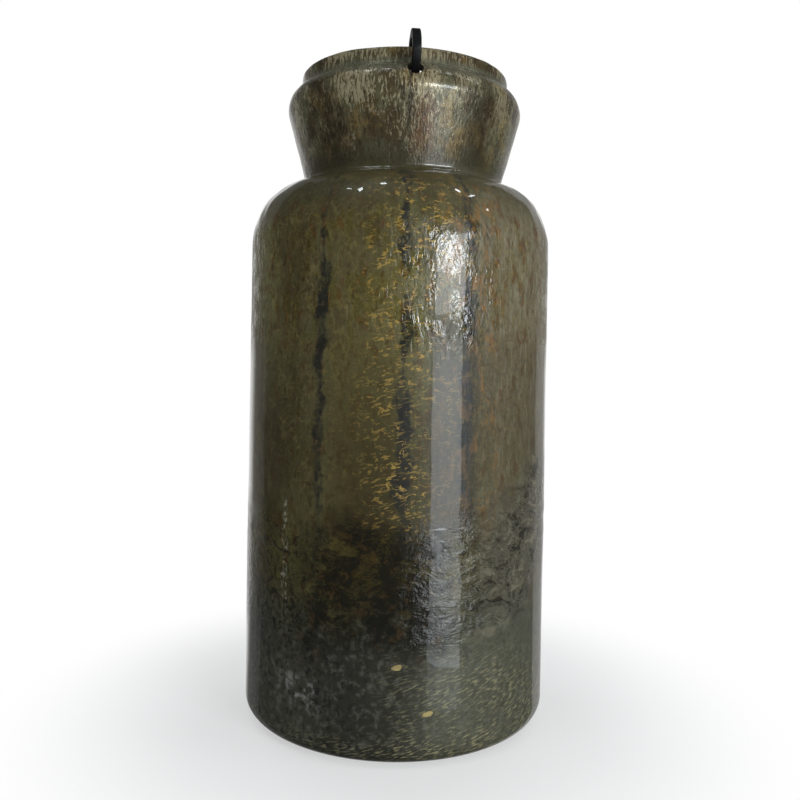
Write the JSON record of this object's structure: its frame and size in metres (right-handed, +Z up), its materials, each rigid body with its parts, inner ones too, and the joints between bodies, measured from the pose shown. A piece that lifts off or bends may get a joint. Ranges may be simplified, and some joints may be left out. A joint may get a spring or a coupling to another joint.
{
  "type": "jar lantern",
  "caption": "Straight-sided silvered glass jar lantern with a rounded shoulder, flared collar, iron hanging rings through its mouth and a pillar candle standing inside.",
  "frame": {"origin": "middle of the foot, on the surface that the jar stands on", "axes": "+Z up along the jar's axis; -Y towards the front hanging ring; +X to the right of someone facing that ring"},
  "size_m": [0.18, 0.18, 0.3886],
  "materials": {
    "silvered_glass": "gloss blown glass over distressed silvering",
    "black_iron": "waxed black",
    "candle_wax": "satin cast wax",
    "wick_cotton": "braided cotton"
  },
  "bodies": {
    "jar": {"glass_jar": "silvered_glass"},
    "front_ring": {"front_hanging_ring": "black_iron"},
    "rear_ring": {"rear_hanging_ring": "black_iron"},
    "candle": {"pillar_candle": "candle_wax", "candle_wick": "wick_cotton"}
  },
  "joints": [
    {"name": "front_ring_swing", "type": "hinge", "parent": "jar", "child": "front_ring", "pos_m": [0, -0.06669, 0.36533], "axis": [0, -0.9063, 0.4226], "range_deg": [-26, 26]},
    {"name": "rear_ring_swing", "type": "hinge", "parent": "jar", "child": "rear_ring", "pos_m": [0, 0.06669, 0.36533], "axis": [0, 0.9063, 0.4226], "range_deg": [-26, 26]},
    {"name": "candle_lift", "type": "slide", "parent": "jar", "child": "candle", "axis": [0, 0, 1], "range_m": [0, 0.385]}
  ]
}
